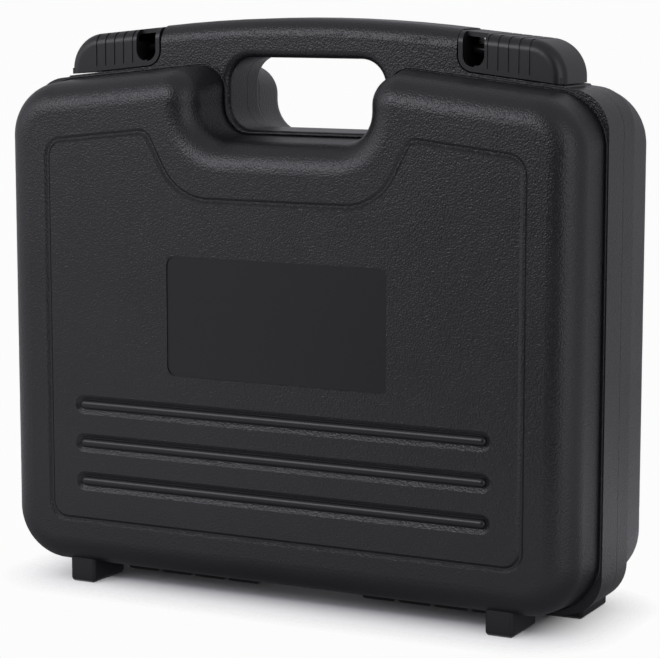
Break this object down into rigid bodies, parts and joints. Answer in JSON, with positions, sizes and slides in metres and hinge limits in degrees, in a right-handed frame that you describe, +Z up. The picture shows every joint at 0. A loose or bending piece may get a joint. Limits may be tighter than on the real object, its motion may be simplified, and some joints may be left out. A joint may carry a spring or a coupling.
{
  "type": "tool case",
  "caption": "Hard moulded carrying case with an integral handle, a grooved and ribbed front, sliding end latches and a lid hinged along its foot.",
  "frame": {"origin": "on the floor under the feet, at the middle of the case's width and depth", "axes": "+X to the viewer's right, +Y to the back, +Z up; the lid faces -Y"},
  "size_m": [0.362, 0.1182, 0.3312],
  "materials": {
    "shell": "moulded black polypropylene with a fine leather grain",
    "latch": "moulded black polypropylene, satin",
    "rod": "moulded black polypropylene, smooth",
    "foot": "moulded black polypropylene, satin",
    "steel": "drawn steel"
  },
  "bodies": {
    "base": {"rear_shell": "shell", "rear_left_foot": "foot", "rear_right_foot": "foot", "left_hinge_pin": "steel", "right_hinge_pin": "steel"},
    "lid": {"front_shell": "shell", "front_left_foot": "foot", "front_right_foot": "foot", "left_latch_rod": "rod", "right_latch_rod": "rod"},
    "left latch": {"left_latch": "latch"},
    "right latch": {"right_latch": "latch"}
  },
  "joints": [
    {"name": "lid_hinge", "type": "hinge", "parent": "base", "child": "lid", "pos_m": [0, 0.0016, 0.0045], "axis": [1, 0, 0], "range_deg": [0, 140]},
    {"name": "left_latch_slide", "type": "slide", "parent": "lid", "child": "left latch", "axis": [-0.9938, 0, -0.1115], "range_m": [0, 0.013]},
    {"name": "right_latch_slide", "type": "slide", "parent": "lid", "child": "right latch", "axis": [0.9938, 0, -0.1115], "range_m": [0, 0.013]}
  ]
}
